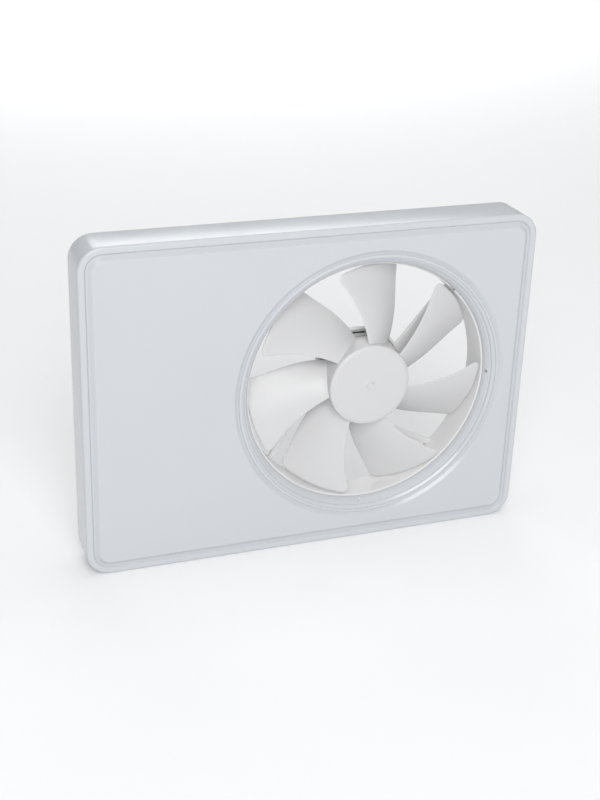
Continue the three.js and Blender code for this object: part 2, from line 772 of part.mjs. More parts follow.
function chip(width, legs) {
  const body = box([0, 0], [width, width], PART_Z + 0.3, PART_Z + 1.8);
  const pins = [];
  for (let i = 0; i < legs; i++) {
    const place = ((i + 0.5) / legs - 0.5) * (width - 1.5);
    pins.push(box([0, place], [width + 2.4, 0.6], PART_Z, PART_Z + 0.9));
  }
  return union([body, ...pins]);
}
addPart("microcontroller", chip(11, 6), PARTS.dark, ...BOARD_PARTS.microcontroller);

function header(width, length, tall) {
  const body = box([0, 0], [width, length], PART_Z, PART_Z + tall);
  return body.subtract(box([0, 0], [width - 2, length - 2], PART_Z + 1.5, PART_Z + tall + 1));
}
addPart("motor_connector", header(6, 9, 3.4), PARTS.cream, ...BOARD_PARTS.motorConnector);
addPart("ribbon_header", header(13, 4, 5), PARTS.cream, ...RIBBON_CENTRE);

function humiditySensor() {
  const body = box([0, 0], [12, 9], PART_Z, PART_Z + 4);
  const slots = [-3, 0, 3].map((x) => box([x, 0], [1.4, 6], PART_Z + 3, PART_Z + 5));
  return slots.reduce((rest, slot) => rest.subtract(slot), body);
}
addPart("humidity_sensor", humiditySensor(), PARTS.cream, ...BOARD_PARTS.humiditySensor);

// ---- inner lid over the live parts, with the touch board on top ----
const touchPosts = corners(TOUCH_SIZE[0] / 2 - 4, TOUCH_SIZE[1] / 2 - 4).map(([x, y]) => [
  x + TOUCH_CENTRE[0],
  y + TOUCH_CENTRE[1],
]);

function electronicsLid() {
  const { x, y, z, wall } = LID;
  const centre = [(x[0] + x[1]) / 2, (y[0] + y[1]) / 2];
  const size = [x[1] - x[0], y[1] - y[0]];
  const outside = box(centre, size, z[0], z[1] - wall);
  const top = box(centre, size, z[1] - wall - 1, z[1]);
  const inside = box(centre, [size[0] - 2 * wall, size[1] - 2 * wall], z[0] - 1, z[1] - wall);
  const ears = lidScrews.map(([sx, sy]) =>
    box([sx, sy - Math.sign(sy) * 0.5], [11, 10], z[0], z[0] + EAR_THICK),
  );
  const posts = touchPosts.map((place) => cylinder(place, 2, z[1] - 1, TOUCH_Z - GAP, 12));
  const [ventX, ventY] = BOARD_PARTS.humiditySensor;
  const vents = [-8, -4, 0, 4, 8].map((dx) => box([ventX + dx, ventY], [2, 14], 15, 25));
  const cuts = [
    ...vents,
    ...lidScrews.map((place) => cylinder(place, CLEARANCE_R, 0, 10, 12)),
    box(RIBBON_CENTRE, [15, 4], 15, 25),
    box([x[1], 10], [6, 26], 0, 15.5),
  ];
  const body = union([outside.add(top).subtract(inside), ...ears, ...posts]);
  return cuts.reduce((rest, tool) => rest.subtract(tool), body);
}
addPart("electronics_lid", electronicsLid(), PARTS.frame);

addPart("touch_board", box(TOUCH_CENTRE, TOUCH_SIZE, ...TOUCH_BOARD_Z), PARTS.board);
addPart(
  "touch_ribbon",
  box(RIBBON_CENTRE, [10, 0.8], PART_Z + 1.9, TOUCH_Z - GAP),
  PARTS.cream,
);
for (const [i, y] of [-24, -8, 8].entries()) {
  const pad = ring(1.5, 5, TOUCH_BOARD_Z[1] + GAP, DEPTH - FRONT_WALL - GAP, 20);
  addPart(`touch_pad_${i + 1}`, pad, PARTS.dark, TOUCH_CENTRE[0], y);
}
addPart(
  "status_led",
  turned(
    [
      [0, TOUCH_BOARD_Z[1] + GAP],
      [2, TOUCH_BOARD_Z[1] + GAP],
      [2, TOUCH_Z + 2.6],
      [1.3, TOUCH_Z + 3.6],
      [0, TOUCH_Z + 3.9],
    ],
    16,
    false,
  ),
  PARTS.cream,
  ...LED_CENTRE,
);

// ---- mains connection ----
const POLES = 3;
const POLE_PITCH = 9;
const PORT_SIZE = 5;
const TERMINAL_Z = [BASE_THICK + GAP, 15.5];
const poleY = (i) => TERMINAL_CENTRE[1] + (i - (POLES - 1) / 2) * POLE_PITCH;

function terminalBlock() {
  let body = box(TERMINAL_CENTRE, [14, POLES * POLE_PITCH + 3], ...TERMINAL_Z);
  for (let i = 0; i < POLES; i++) {
    const well = cylinder([TERMINAL_CENTRE[0], poleY(i)], 2.6, 9, 18, 16);
    const port = box([TERMINAL_CENTRE[0] - 6, poleY(i)], [10, PORT_SIZE], 4, 4 + PORT_SIZE);
    body = body.subtract(well).subtract(port);
  }
  return body;
}
addPart("terminal_block", terminalBlock(), PARTS.cream);

// A screw with a cross recess: the head sits on z = seat and the shank reaches down to z = tip.
function screw(headR, shankR, seat, tip) {
  const top = seat + HEAD_RISE;
  const body = turned(
    [
      [0, tip],
      [shankR, tip],
      [shankR, seat],
      [headR, seat],
      [headR, top - 0.7],
      [headR - 0.8, top],
      [0, top],
    ],
    8,
    false,
  );
  const slot = box([0, 0], [headR * 1.2, 0.6], top - 0.8, top + 1);
  return body.subtract(slot).subtract(slot.rotate([0, 0, 90]));
}

function addScrews(name, places, headR, shankR, seat, tip) {
  for (const [i, place] of places.entries()) {
    addPart(`${name}_${i + 1}`, screw(headR, shankR, seat, tip), PARTS.steel, ...place);
  }
}
const poles = Array.from({ length: POLES }, (_, i) => [TERMINAL_CENTRE[0], poleY(i)]);
const flangeTop = FLANGE_Z + FLANGE_THICK + GAP;
addScrews("terminal_screw", poles, 2.2, 1.4, 12.2, 9.3);
addScrews("board_screw", boardHoles, 2.8, 1.2, PART_Z, 1.6);
addScrews("frame_screw", frameScrews, 3, 1.2, flangeTop, SCREW_TIP_Z);
addScrews("lid_screw", lidScrews, 3, 1.2, LID.z[0] + EAR_THICK + GAP, SCREW_TIP_Z);
addScrews("clamp_screw", clampHoles, 2.8, 1.2, CLAMP_Z[1] + GAP, 1.6);

function cordClamp() {
  const bar = box(CLAMP_CENTRE, [8, 28], ...CLAMP_Z);
  const arch = new THREE.CylinderGeometry(3.6, 3.6, 12, 20);
  arch.rotateZ(Math.PI / 2);
  arch.translate(CLAMP_CENTRE[0], CLAMP_CENTRE[1], 6.2);
  return clampHoles.reduce((rest, place) => rest.subtract(cylinder(place, PILOT_R, 0, 20, 8)),
    bar.subtract(solid(arch)));
}
addPart("cord_clamp", cordClamp(), PARTS.frame);

addPart(
  "cable_grommet",
  turned(
    [
      [3.2, 0.8],
      [GROMMET_R - GAP, 0.8],
      [GROMMET_R - GAP, BASE_THICK + GAP],
      [GROMMET_R + 2, BASE_THICK + GAP],
      [GROMMET_R + 1.4, 4.6],
      [5.4, 5.4],
      [4, 8.4],
      [3.2, 8.4],
    ],
    32,
  ),
  PARTS.rubber,
  ...GROMMET_CENTRE,
);

const extractorFan = new THREE.Group();
extractorFan.add(wallFrame);

export default extractorFan;
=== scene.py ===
"""Studio picture of the slim wall extractor fan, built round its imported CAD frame.

Everything is drawn in a wall frame, in millimetres: x to the right, y up, z out of the wall.
The case's pieces start from its middle and the fan's pieces from the fan axis. placed() stands
them upright in the CAD frame, in metres.
"""
import json
import math

import bmesh
import bpy
from mathutils import Matrix, Vector


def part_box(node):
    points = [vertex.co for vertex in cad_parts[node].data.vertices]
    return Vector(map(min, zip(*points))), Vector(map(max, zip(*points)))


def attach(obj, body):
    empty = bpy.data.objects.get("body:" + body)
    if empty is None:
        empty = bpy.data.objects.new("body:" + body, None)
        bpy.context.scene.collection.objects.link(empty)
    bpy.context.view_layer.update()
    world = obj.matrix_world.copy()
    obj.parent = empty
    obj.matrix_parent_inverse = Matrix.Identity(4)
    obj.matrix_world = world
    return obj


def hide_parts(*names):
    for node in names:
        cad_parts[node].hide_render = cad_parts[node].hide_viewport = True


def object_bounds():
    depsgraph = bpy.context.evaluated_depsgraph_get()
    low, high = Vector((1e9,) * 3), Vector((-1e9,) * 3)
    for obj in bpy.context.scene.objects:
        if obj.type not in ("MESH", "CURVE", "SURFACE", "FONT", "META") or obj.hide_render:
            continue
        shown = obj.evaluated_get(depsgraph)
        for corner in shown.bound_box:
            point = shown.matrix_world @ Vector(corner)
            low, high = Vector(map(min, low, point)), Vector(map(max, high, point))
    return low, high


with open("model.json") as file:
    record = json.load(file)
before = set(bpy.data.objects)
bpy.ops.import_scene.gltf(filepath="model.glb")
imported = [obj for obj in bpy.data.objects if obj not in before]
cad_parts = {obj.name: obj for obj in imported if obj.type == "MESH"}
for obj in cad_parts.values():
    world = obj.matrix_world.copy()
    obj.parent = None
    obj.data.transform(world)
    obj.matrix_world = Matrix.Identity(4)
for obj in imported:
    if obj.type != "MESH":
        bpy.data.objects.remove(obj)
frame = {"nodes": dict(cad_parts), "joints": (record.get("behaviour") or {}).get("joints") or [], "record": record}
cad_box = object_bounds()

MM = 0.001
CASE_LOW, CASE_HIGH = (corner / MM for corner in cad_box)
WIDTH = CASE_HIGH.x - CASE_LOW.x
HEIGHT = CASE_HIGH.z - CASE_LOW.z
DEPTH = CASE_HIGH.y - CASE_LOW.y
SPIN = next(j for j in frame["joints"] if j["name"] == "rotor_spin")
FAN_X = SPIN["pos_m"][0] / MM
FAN_Y = SPIN["pos_m"][2] / MM - HEIGHT / 2

# Wall frame to the CAD frame: z out of the wall becomes -Y, y becomes +Z.
STAND = Matrix.Translation((0, DEPTH / 2 * MM, HEIGHT / 2 * MM)) @ Matrix.Rotation(
    math.pi / 2, 4, "X") @ Matrix.Scale(MM, 4)
FAN_PLACE = STAND @ Matrix.Translation((FAN_X, FAN_Y, 0))

WELD = 1e-4  # corners closer together than this are one corner
STRAIGHT = 0.02  # a corner that turns less than this, in radians, isn't rounded
CUT_SHARE = 0.48  # the most of an edge that a fillet takes at one end
SHARP_ANGLE = 35  # in degrees, the fold from which an edge is shaded as sharp


# ---------------------------------------------------------------- mesh helpers
def rounded_profile(corners, steps=4, closed=True):
    """A profile from (x, z, fillet radius) corners, with each of them rounded."""
    count = len(corners)
    rounded = []
    for i, (x, z, radius) in enumerate(corners):
        here = Vector((x, z))
        inner = closed or 0 < i < count - 1
        if not inner or radius <= 0:
            rounded.append(tuple(here))
            continue
        before = Vector(corners[i - 1][:2]) - here
        after = Vector(corners[(i + 1) % count][:2]) - here
        angle = before.angle(after)
        if angle > math.pi - STRAIGHT:
            rounded.append(tuple(here))
            continue
        reach = min(radius / math.tan(angle / 2), before.length * CUT_SHARE,
                    after.length * CUT_SHARE)
        start = here + before.normalized() * reach
        end = here + after.normalized() * reach
        for step in range(steps + 1):
            t = step / steps
            rounded.append(tuple(start * (1 - t) ** 2 + here * 2 * t * (1 - t) + end * t * t))
    return rounded


def bridge(bm, first, second):
    """Quads between two closed loops of vertices; a loop of one vertex is a pole."""
    count = max(len(first), len(second))
    for i in range(count):
        j = (i + 1) % count
        corners = [first[i % len(first)], first[j % len(first)],
                   second[j % len(second)], second[i % len(second)]]
        unique = list(dict.fromkeys(corners))
        if len(unique) > 2:
            bm.faces.new(unique)


def lathe(bm, profile, segments, closed):
    """Turns a profile of (radius, z) round the z axis; a point on the axis makes a pole."""
    turn = [2 * math.pi * k / segments for k in range(segments)]
    loops = []
    for r, z in profile:
        if r < WELD:
            loops.append([bm.verts.new((0, 0, z))])
        else:
            loops.append([bm.verts.new((r * math.cos(a), r * math.sin(a), z)) for a in turn])
    pairs = list(zip(loops, loops[1:]))
    if closed:
        pairs.append((loops[-1], loops[0]))
    for first, second in pairs:
        bridge(bm, first, second)
    return loops


def rounded_rect(width, height, radius):
    """Points of a rounded rectangle, counter-clockwise from the lower right corner."""
    steps = 14
    points = []
    for corner, (sx, sy) in enumerate([(1, -1), (1, 1), (-1, 1), (-1, -1)]):
        centre = (sx * (width / 2 - radius), sy * (height / 2 - radius))
        for step in range(steps + 1):
            a = math.pi / 2 * (corner - 1 + step / steps)
            points.append((centre[0] + radius * math.cos(a), centre[1] + radius * math.sin(a)))
    return points


def fill(bm, *loops):
    """Flat faces between an outer loop of vertices and any holes in it."""
    edges = []
    for loop in loops:
        for a, b in zip(loop, loop[1:] + loop[:1]):
            edges.append(bm.edges.get((a, b)) or bm.edges.new((a, b)))
    bmesh.ops.triangle_fill(bm, use_beauty=True, edges=edges)


def smooth_by_angle(mesh, degrees=SHARP_ANGLE):
    mesh.shade_smooth()
    mesh.set_sharp_from_angle(angle=math.radians(degrees))


def linked_object(name, bm):
    """The welded bmesh, which is used up, as an object of the scene."""
    bmesh.ops.remove_doubles(bm, verts=bm.verts, dist=WELD)
    bmesh.ops.recalc_face_normals(bm, faces=bm.faces)
    mesh = bpy.data.meshes.new(name)
    bm.to_mesh(mesh)
    bm.free()
    made = bpy.data.objects.new(name, mesh)
    bpy.context.scene.collection.objects.link(made)
    return made


def placed(name, bm, place, body, slot, stands_for=(), sharp=SHARP_ANGLE):
    """The finished mesh as a piece that rides on its body, in the material of its slot."""
    piece = linked_object(name, bm)
    piece.data.transform(place)
    smooth_by_angle(piece.data, sharp)
    piece.data.materials.append(MATERIALS[slot])
    if stands_for:
        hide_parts(*stands_for)
    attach(piece, body)


def mended(bm):
    """Drops the needless corners and closes the pinholes that a boolean leaves on its seams."""
    bmesh.ops.remove_doubles(bm, verts=bm.verts, dist=WELD)
    bmesh.ops.dissolve_verts(bm, verts=[v for v in bm.verts if len(v.link_edges) == 2])
    bmesh.ops.holes_fill(bm, edges=[e for e in bm.edges if e.is_boundary], sides=4)
    return bm


def combined(bm, others, operation="UNION"):
    """The closed body joined with, or cut by, each of the other closed bodies."""
    whole = linked_object("whole", bm)
    tools = [linked_object("tool", other) for other in others]
    for tool in tools:
        step = whole.modifiers.new("step", "BOOLEAN")
        step.operation = operation
        step.solver = "EXACT"
        step.object = tool
    graph = bpy.context.evaluated_depsgraph_get()
    mesh = bpy.data.meshes.new_from_object(whole.evaluated_get(graph))
    made = bmesh.new()
    made.from_mesh(mesh)
    bpy.data.meshes.remove(mesh)
    for holder in [whole, *tools]:
        spent = holder.data
        bpy.data.objects.remove(holder)
        bpy.data.meshes.remove(spent)
    return mended(made)


def cut(bm, tools):
    return combined(bm, tools, "DIFFERENCE")


def block(low, high, bevel=0.0):
    """A box from its lowest to its highest corner, with rounded edges where there is a bevel."""
    bm = bmesh.new()
    size = Vector(high) - Vector(low)
    bmesh.ops.create_cube(bm, size=1, matrix=Matrix.Translation(
        (Vector(high) + Vector(low)) / 2) @ Matrix.Diagonal((*size, 1)))
    if bevel:
        bmesh.ops.bevel(bm, geom=bm.edges[:], offset=bevel, segments=2, profile=0.5,
                        affect="EDGES")
    return bm


def rod(centre, radius, low, high, bevel=0.0, segments=32):
    """A round bar along z, with rounded ends where there is a bevel."""
    bm = bmesh.new()
    lathe(bm, rounded_profile([(0, low, 0), (radius, low, bevel), (radius, high, bevel),
                               (0, high, 0)], closed=False), segments, closed=False)
    bmesh.ops.translate(bm, verts=bm.verts, vec=(*centre, 0))
    return bm


def turned(corner_points, segments=64, hollow=True):
    """A turned body from (radius, z, fillet) corners; hollow when it has a hole right through."""
    bm = bmesh.new()
    lathe(bm, rounded_profile(corner_points, closed=hollow), segments, hollow)
    return bm


def moved(bm, x=0.0, y=0.0, z=0.0, turn=None):
    """The bmesh, turned by a matrix where there is one, and then moved."""
    matrix = Matrix.Translation((x, y, z))
    bmesh.ops.transform(bm, verts=bm.verts, matrix=matrix @ turn if turn else matrix)
    return bm


def wall_box(node):
    """A CAD node's lowest and highest corners in the wall frame, in millimetres."""
    ends = [STAND.inverted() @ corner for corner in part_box(node)]
    return Vector(map(min, *ends)), Vector(map(max, *ends))


def centre_of(node):
    low, high = wall_box(node)
    return (low.x + high.x) / 2, (low.y + high.y) / 2


def corners_of(x, y):
    return [(x, y), (-x, y), (-x, -y), (x, -y)]


def add_to(bm, other, matrix):
    """Adds the other bmesh, moved by a matrix, and frees it."""
    mesh = bpy.data.meshes.new("part")
    other.to_mesh(mesh)
    other.free()
    mesh.transform(matrix)
    bm.from_mesh(mesh)
    bpy.data.meshes.remove(mesh)


# ---------------------------------------------------------------- materials
NOISE_RANGE = (0.3, 0.7)  # where nearly all values of a noise texture lie
DRIFT_SCALE = 18.0  # features per metre of the slow change of colour
PATCH_SCALE = 60.0  # features per metre of the patches of different roughness
GRAIN_STRENGTH = 0.6


def principled(name, colour, roughness, metallic):
    material = bpy.data.materials.new(name)
    material.use_nodes = True
    shader = material.node_tree.nodes["Principled BSDF"]
    shader.inputs["Base Color"].default_value = (*colour, 1)
    shader.inputs["Roughness"].default_value = roughness
    shader.inputs["Metallic"].default_value = metallic
    return material, shader


def noise(tree, scale, detail, roughness=0.55, stretch=None):
    place = tree.nodes.new("ShaderNodeTexCoord")
    texture = tree.nodes.new("ShaderNodeTexNoise")
    texture.inputs["Scale"].default_value = scale
    texture.inputs["Detail"].default_value = detail
    texture.inputs["Roughness"].default_value = roughness
    source = place.outputs["Object"]
    if stretch:
        mapping = tree.nodes.new("ShaderNodeMapping")
        mapping.inputs["Scale"].default_value = stretch
        tree.links.new(source, mapping.inputs["Vector"])
        source = mapping.outputs["Vector"]
    tree.links.new(source, texture.inputs["Vector"])
    return texture.outputs["Fac"]


def ranged(tree, value, low, high):
    """A noise value stretched to run from low to high."""
    node = tree.nodes.new("ShaderNodeMapRange")
    node.inputs["From Min"].default_value = NOISE_RANGE[0]
    node.inputs["From Max"].default_value = NOISE_RANGE[1]
    node.inputs["To Min"].default_value = low
    node.inputs["To Max"].default_value = high
    tree.links.new(value, node.inputs["Value"])
    return node.outputs["Result"]


def toned(tree, shader, value, dark, light):
    """Base colour running from dark to light with a noise value."""
    ramp = tree.nodes.new("ShaderNodeValToRGB")
    stops = ramp.color_ramp.elements
    for stop, position, colour in zip(stops, NOISE_RANGE, (dark, light)):
        stop.position = position
        stop.color = (*colour, 1)
    tree.links.new(value, ramp.inputs["Fac"])
    tree.links.new(ramp.outputs["Color"], shader.inputs["Base Color"])


def bumped(tree, shader, value, distance):
    """Relief from a noise value, `distance` metres deep."""
    bump = tree.nodes.new("ShaderNodeBump")
    bump.inputs["Strength"].default_value = GRAIN_STRENGTH
    bump.inputs["Distance"].default_value = distance
    tree.links.new(value, bump.inputs["Height"])
    tree.links.new(bump.outputs["Normal"], shader.inputs["Normal"])


def shade(colour, factor):
    return tuple(min(channel * factor, 1.0) for channel in colour)


def finish_material(name, colour, roughness, spread, grain, bump, metallic=0.0, tone=0.03,
                    stretch=None):
    """A material with a slight colour drift, a roughness that varies by `spread`, and a grain
    of `grain` features per metre that stands `bump` metres proud."""
    material, shader = principled(name, colour, roughness, metallic)
    tree = material.node_tree
    drift = noise(tree, DRIFT_SCALE, 3.0)
    toned(tree, shader, drift, shade(colour, 1 - tone), shade(colour, 1 + tone))
    patches = noise(tree, PATCH_SCALE, 5.0, 0.6, stretch)
    rough = ranged(tree, patches, roughness - spread, roughness + spread)
    tree.links.new(rough, shader.inputs["Roughness"])
    bumped(tree, shader, noise(tree, grain, 3.0, 0.5, stretch), bump)
    return material


MATERIALS = {
    "cover_gloss": finish_material("cover_gloss", (0.54, 0.56, 0.587), 0.2, 0.03, 420, 4e-6,
                                   tone=0.008),
    "base_plastic": finish_material("base_plastic", (0.70, 0.71, 0.72), 0.48, 0.06, 2200, 2e-5),
    "frame_plastic": finish_material("frame_plastic", (0.72, 0.715, 0.715), 0.42, 0.06, 1500,
                                     1.2e-5, tone=0.015),
    "rotor_plastic": finish_material("rotor_plastic", (0.59, 0.588, 0.592), 0.38, 0.05, 1800,
                                     1e-5, tone=0.015),
    "zinc_steel": finish_material("zinc_steel", (0.62, 0.63, 0.65), 0.32, 0.08, 900, 6e-6, 1.0),
    "stator_steel": finish_material("stator_steel", (0.34, 0.35, 0.37), 0.45, 0.08, 700, 3e-5,
                                    1.0, stretch=(1, 14, 1)),
    "ferrite": finish_material("ferrite", (0.035, 0.035, 0.038), 0.7, 0.1, 2500, 3e-5, tone=0.2),
    "brass": finish_material("brass", (0.72, 0.52, 0.25), 0.3, 0.07, 1200, 6e-6, 1.0,
                             stretch=(1, 12, 1)),
    "copper_wire": finish_material("copper_wire", (0.55, 0.2, 0.07), 0.32, 0.06, 500, 2e-4, 1.0,
                                   tone=0.12, stretch=(1, 5, 1)),
    "circuit_board": finish_material("circuit_board", (0.02, 0.13, 0.06), 0.34, 0.06, 900, 1e-5,
                                     tone=0.2),
    "dark_plastic": finish_material("dark_plastic", (0.02, 0.02, 0.022), 0.45, 0.08, 2500, 1e-5,
                                    tone=0.2),
    "sleeve_blue": finish_material("sleeve_blue", (0.02, 0.05, 0.2), 0.28, 0.05, 900, 1e-5,
                                   tone=0.1),
    "tape_yellow": finish_material("tape_yellow", (0.62, 0.44, 0.06), 0.4, 0.06, 900, 2e-5,
                                   tone=0.06, stretch=(1, 1, 8)),
    "connector_cream": finish_material("connector_cream", (0.72, 0.69, 0.58), 0.42, 0.05, 1500,
                                       1e-5),
    "rubber": finish_material("rubber", (0.03, 0.03, 0.032), 0.75, 0.08, 1800, 3e-5, tone=0.2),
    "lead_sleeve": finish_material("lead_sleeve", (0.03, 0.03, 0.03), 0.5, 0.06, 1200, 1e-5,
                                   tone=0.2),
    "led_lens": finish_material("led_lens", (0.8, 0.84, 0.88), 0.2, 0.04, 900, 5e-6, tone=0.01),
}
for entry in frame["record"]["subparts"]:
    node = frame["nodes"][entry["node"]]
    node.data.materials.clear()
    node.data.materials.append(MATERIALS[entry["material_slot"]])
    smooth_by_angle(node.data)


# ---------------------------------------------------------------- camera, light, floor
# The camera stands left of and above the fan, as the photographer did.
CAMERA_PLACE = Vector((-0.2844, -0.7474, 0.4633))
CAMERA_FORWARD = Vector((0.3191, 0.8511, -0.4169))
CAMERA_RIGHT = Vector((0.9410, -0.3370, 0.0322))
LENS = 62.54
SENSOR_WIDTH = 36

# name, place, the point it shines at, size and power
LIGHTS = [
    ("key", (-0.5, -2.0, 1.45), (0, 0, 0.1), 1.7, 42),
    ("top", (0.2, 0.1, 1.9), (0, 0, 0.1), 1.6, 6.5),
    ("backdrop", (0.5, 2.4, 1.3), (0.5, 2.6, 0), 1.8, 25),
]
WORLD_COLOUR = (0.97, 0.985, 1, 1)
WORLD_STRENGTH = 0.44
FLOOR_REACH = 6  # metres from the middle to each side


def make_camera():
    data = bpy.data.cameras.new("camera")
    data.lens = LENS
    data.sensor_width = SENSOR_WIDTH
    forward = CAMERA_FORWARD.normalized()
    right = (CAMERA_RIGHT - forward * CAMERA_RIGHT.dot(forward)).normalized()
    up = right.cross(forward)
    turn = Matrix((right, up, -forward)).transposed().to_4x4()
    camera = bpy.data.objects.new("camera", data)
    camera.matrix_world = Matrix.Translation(CAMERA_PLACE) @ turn
    bpy.context.scene.collection.objects.link(camera)
    bpy.context.scene.camera = camera


def area_light(name, place, target, size, power):
    data = bpy.data.lights.new(name, "AREA")
    data.shape = "DISK"
    data.size = size
    data.energy = power
    light = bpy.data.objects.new(name, data)
    light.location = place
    light.rotation_mode = "QUATERNION"
    light.rotation_quaternion = (Vector(place) - Vector(target)).to_track_quat("Z", "Y")
    bpy.context.scene.collection.objects.link(light)


def make_floor():
    bm = bmesh.new()
    bmesh.ops.create_grid(bm, x_segments=8, y_segments=8, size=FLOOR_REACH)
    mesh = bpy.data.meshes.new("floor")
    bm.to_mesh(mesh)
    bm.free()
    floor = bpy.data.objects.new("floor", mesh)
    bpy.context.scene.collection.objects.link(floor)
    mesh.materials.append(
        finish_material("floor", (0.95, 0.95, 0.95), 0.9, 0.03, 300, 2e-5, tone=0.004))


def make_light():
    world = bpy.data.worlds.new("studio")
    world.use_nodes = True
    background = world.node_tree.nodes["Background"]
    background.inputs["Color"].default_value = WORLD_COLOUR
    background.inputs["Strength"].default_value = WORLD_STRENGTH
    bpy.context.scene.world = world
    for light in LIGHTS:
        area_light(*light)
    bpy.context.scene.view_settings.view_transform = "Standard"


make_camera()
make_light()
make_floor()


# ---------------------------------------------------------------- front cover
CORNER_R = 15.0
LEAST_CORNER_R = 1.5
WALL = 2.2
FRONT_WALL = 2.6
COVER_INSIDE = DEPTH - FRONT_WALL
SKIRT_REAR = 0.5
RIM_WIDTH = 4.9
RIM_DROP = 0.6
GROOVE_DEPTH = 2.1
RING_GROOVE_DEPTH = 1.3
PANEL_INSET = 9.6
INLET_R = 80.5
INLET_REAR = DEPTH - 7.8
INLET_GROOVE_R = 88.3
RING_JOIN_R = INLET_GROOVE_R + 4.6  # where the ring's turned part meets the flat panel
RING_SEGMENTS = 192
SIGHT_HOLE_R = 1.2
GATE_ANGLE = 268.0  # a small step of the moulding in the ring's lower edge
PIN_INSET = 14
PIN_R = 2.2
PIN_TIP = 7
PIN_BOSS_R = 3.8
PIN_BOSS_REAR = 16
PIN_ROOT = 26.8
GUSSET_REAR = 18
GUSSET_HALF = 0.6


def round_the_case(bm, corner_points):
    """Takes a profile of (inset from the case's outline, z, fillet) round the case."""
    loops = []
    for inset, z in rounded_profile(corner_points, 6, closed=False):
        radius = max(CORNER_R - inset, LEAST_CORNER_R)
        outline = rounded_rect(WIDTH - 2 * inset, HEIGHT - 2 * inset, radius)
        loops.append([bm.verts.new((x, y, z)) for x, y in outline])
    for first, second in zip(loops, loops[1:]):
        bridge(bm, first, second)
    return loops[0], loops[-1]


def frame_loops(bm):
    """The skirt, the rim, the groove and the bevel up to the panel."""
    crest = DEPTH - RIM_DROP
    groove = DEPTH - GROOVE_DEPTH
    return round_the_case(bm, [
        (PANEL_INSET + 1, COVER_INSIDE, 0),
        (PANEL_INSET - 1, COVER_INSIDE, 0.4),
        (PANEL_INSET - 3, COVER_INSIDE - 1.2, 0.4),
        (WALL, COVER_INSIDE - 1.2, 1.0),
        (WALL, SKIRT_REAR, 0.3),
        (0, SKIRT_REAR, 0.4),
        (0, crest, 1.9),
        (RIM_WIDTH - 1.0, crest, 1.1),
        (RIM_WIDTH, groove, 0.1),
        (RIM_WIDTH + 1.1, groove, 0.3),
        (PANEL_INSET - 1.2, DEPTH - 0.1, 0.25),
        (PANEL_INSET, DEPTH, 0.3),
        (PANEL_INSET + 0.6, DEPTH, 0),
        (PANEL_INSET + 1.6, DEPTH, 0),
    ])


def inlet_loops(bm):
    """The groove, the rounded ridge and the flared throat of the air inlet."""
    ring_groove = DEPTH - RING_GROOVE_DEPTH
    corner_points = [
        (RING_JOIN_R, DEPTH, 0),
        (INLET_GROOVE_R + 2.7, DEPTH, 0.25),
        (INLET_GROOVE_R + 0.7, ring_groove, 0.15),
        (INLET_GROOVE_R, ring_groove, 0.15),
        (INLET_GROOVE_R - 0.5, DEPTH - 0.1, 0.3),
        (INLET_R + 5.9, DEPTH, 0.15),
        (INLET_R + 5.7, DEPTH - 0.9, 0.1),
        (INLET_R + 5.1, DEPTH - 0.9, 0.15),
        (INLET_R + 3.8, DEPTH - 1.8, 0.5),
        (INLET_R + 3.4, DEPTH - 3.0, 0.1),
        (INLET_R + 2.7, DEPTH - 3.1, 0.15),
        (INLET_R + 0.9, DEPTH - 5.4, 2.4),
        (INLET_R, INLET_REAR, 0.3),
        (INLET_R + 1.8, INLET_REAR, 0.35),
        (INLET_R + 3.0, DEPTH - 5.2, 3.0),
        (INLET_R + 7, COVER_INSIDE, 1.0),
        (RING_JOIN_R, COVER_INSIDE, 0),
    ]
    profile = rounded_profile(corner_points, 6, closed=False)
    loops = lathe(bm, profile, RING_SEGMENTS, closed=False)
    for vert in [v for loop in loops for v in loop]:
        vert.co.x += FAN_X
        vert.co.y += FAN_Y
    return loops[0], loops[-1]


def cover_pin(place):
    """A push-in pin on its boss, with two gussets out to the walls."""
    x, y = place
    pin = moved(turned([(0, PIN_TIP, 0), (PIN_R, PIN_TIP, 0.8), (PIN_R, PIN_BOSS_REAR, 0.4),
                        (PIN_BOSS_R, PIN_BOSS_REAR, 0.5), (PIN_BOSS_R, PIN_ROOT, 0),
                        (0, PIN_ROOT, 0)], 32, False), x, y)
    out_x = math.copysign(WIDTH / 2 - WALL + 0.4, x)
    out_y = math.copysign(HEIGHT / 2 - WALL + 0.4, y)
    gussets = [
        block((min(x, out_x), y - GUSSET_HALF, GUSSET_REAR),
              (max(x, out_x), y + GUSSET_HALF, PIN_ROOT)),
        block((x - GUSSET_HALF, min(y, out_y), GUSSET_REAR),
              (x + GUSSET_HALF, max(y, out_y), PIN_ROOT)),
    ]
    return [pin, *gussets]


def make_cover():
    bm = bmesh.new()
    back_rim, front_rim = frame_loops(bm)
    front_ring, back_ring = inlet_loops(bm)
    fill(bm, front_rim, front_ring)
    fill(bm, back_rim, back_ring)
    added = [body for place in corners_of(WIDTH / 2 - PIN_INSET, HEIGHT / 2 - PIN_INSET)
             for body in cover_pin(place)]
    gate = block((INLET_R + 0.6, -0.8, DEPTH - 6), (INLET_R + 2.9, 0.8, DEPTH - 3.9))
    added.append(moved(gate, FAN_X, FAN_Y, 0, Matrix.Rotation(math.radians(GATE_ANGLE), 4, "Z")))
    bm = combined(bm, added)
    sideways = Matrix.Rotation(math.pi / 2, 4, "Y")
    sight = moved(rod((0, 0), SIGHT_HOLE_R, -3, 5), FAN_X + INLET_R + 1, FAN_Y,
                  INLET_REAR + 2.4, sideways)
    bm = cut(bm, [sight])
    placed("cover_shell", bm, STAND, "cover", "cover_gloss", ["front_cover"], sharp=32)


make_cover()


